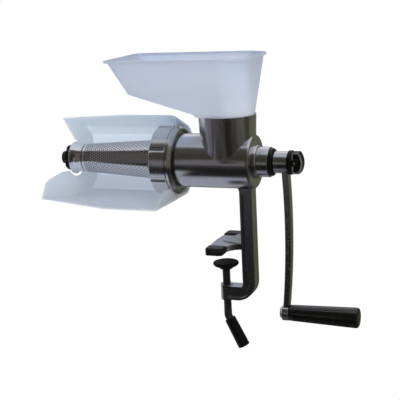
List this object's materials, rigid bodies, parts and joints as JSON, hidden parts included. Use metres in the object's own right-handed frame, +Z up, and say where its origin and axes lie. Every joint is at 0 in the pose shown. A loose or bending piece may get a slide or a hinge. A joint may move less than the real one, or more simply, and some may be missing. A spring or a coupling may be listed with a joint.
{
  "type": "clamp-on tomato strainer with crank",
  "caption": "Hand-cranked tomato strainer with a table clamp, a loose feed hopper, a perforated cone, a splash tray and a ring nut",
  "frame": {"origin": "on the clamp screw's axis, in the plane of the jaw's flat underside where it rests on the table", "axes": "barrel and shaft along X with the crank at +X and the waste outlet at -X; +Z up, funnel and hopper above; -Y is the side shown in the picture"},
  "size_m": [0.3486, 0.1342, 0.3348],
  "materials": {
    "cast_metal": "tinned and polished casting with a soft sheen",
    "steel": "satin stainless steel",
    "dark_steel": "blackened steel",
    "brass": "plain turned brass",
    "black_plastic": "black moulded plastic",
    "black_rubber": "black moulded rubber",
    "pale_rubber": "pale food-safe rubber",
    "white_plastic": "white moulded plastic",
    "clear_plastic": "translucent pale plastic"
  },
  "bodies": {
    "frame_body": {"body_casting": "cast_metal", "jaw_cap_front": "black_rubber", "jaw_cap_back": "black_rubber", "bearing_bush": "brass", "shaft_seal": "black_plastic", "barrel_gasket": "pale_rubber", "cone_flange": "steel", "strainer_cone": "steel", "seam_ring": "black_rubber", "outlet_collar": "steel"},
    "crank": {"drive_shaft": "steel", "auger": "white_plastic", "auger_spring": "steel", "crank_arm": "cast_metal", "grip_spindle": "steel", "grip_clip": "steel"},
    "hand_grip": {"grip": "black_plastic"},
    "knob_slide": {"knob_washer": "black_plastic"},
    "knob": {"crank_knob": "black_plastic", "knob_stud": "steel", "knob_pin": "steel"},
    "tray": {"splash_tray": "clear_plastic"},
    "nut": {"ring_nut": "cast_metal"},
    "outlet_slide": {"outlet_washer": "steel"},
    "outlet": {"outlet_knob": "black_plastic"},
    "pad": {"clamp_pad": "black_plastic", "pad_retainer": "dark_steel"},
    "screw": {"clamp_screw": "dark_steel", "screw_sleeve": "black_plastic"},
    "feed_hopper": {"hopper": "clear_plastic"}
  },
  "joints": [
    {"name": "crank_turn", "type": "hinge", "parent": "frame_body", "child": "crank", "pos_m": [0.0577, 0, 0.0982], "axis": [1, 0, 0], "continuous": true},
    {"name": "grip_spin", "type": "hinge", "parent": "crank", "child": "hand_grip", "pos_m": [0.11, 0, -0.0733], "axis": [1, 0, 0], "continuous": true},
    {"name": "knob_travel", "type": "slide", "parent": "crank", "child": "knob_slide", "axis": [1, 0, 0], "range_m": [0, 0.00833]},
    {"name": "knob_turn", "type": "hinge", "parent": "knob_slide", "child": "knob", "pos_m": [0.085, 0, 0.0982], "axis": [1, 0, 0], "range_deg": [0, 2400]},
    {"name": "nut_travel", "type": "slide", "parent": "frame_body", "child": "tray", "axis": [-1, 0, 0], "range_m": [0, 0.0095]},
    {"name": "nut_turn", "type": "hinge", "parent": "tray", "child": "nut", "pos_m": [-0.06, 0, 0.0982], "axis": [-1, 0, 0], "range_deg": [0, 1080]},
    {"name": "outlet_travel", "type": "slide", "parent": "frame_body", "child": "outlet_slide", "axis": [-1, 0, 0], "range_m": [0, 0.0056]},
    {"name": "outlet_turn", "type": "hinge", "parent": "outlet_slide", "child": "outlet", "pos_m": [-0.186, 0, 0.0982], "axis": [-1, 0, 0], "range_deg": [0, 1350]},
    {"name": "pad_travel", "type": "slide", "parent": "frame_body", "child": "pad", "axis": [0, 0, 1], "range_m": [-0.01624, 0.01249]},
    {"name": "screw_turn", "type": "hinge", "parent": "pad", "child": "screw", "pos_m": [0, 0, -0.06], "axis": [0, 0, 1], "range_deg": [-4680, 3600]},
    {"name": "hopper_lift", "type": "slide", "parent": "frame_body", "child": "feed_hopper", "axis": [0, 0, 1], "range_m": [0, 0.06]}
  ],
  "couplings": [
    {"joint": "knob_turn", "follows": "knob_travel", "rad_per_m": 5026.5},
    {"joint": "nut_travel", "follows": "nut_turn", "m_per_rad": 0.00047746},
    {"joint": "outlet_turn", "follows": "outlet_travel", "rad_per_m": 4188.8},
    {"joint": "screw_turn", "follows": "pad_travel", "rad_per_m": 5026.5}
  ]
}
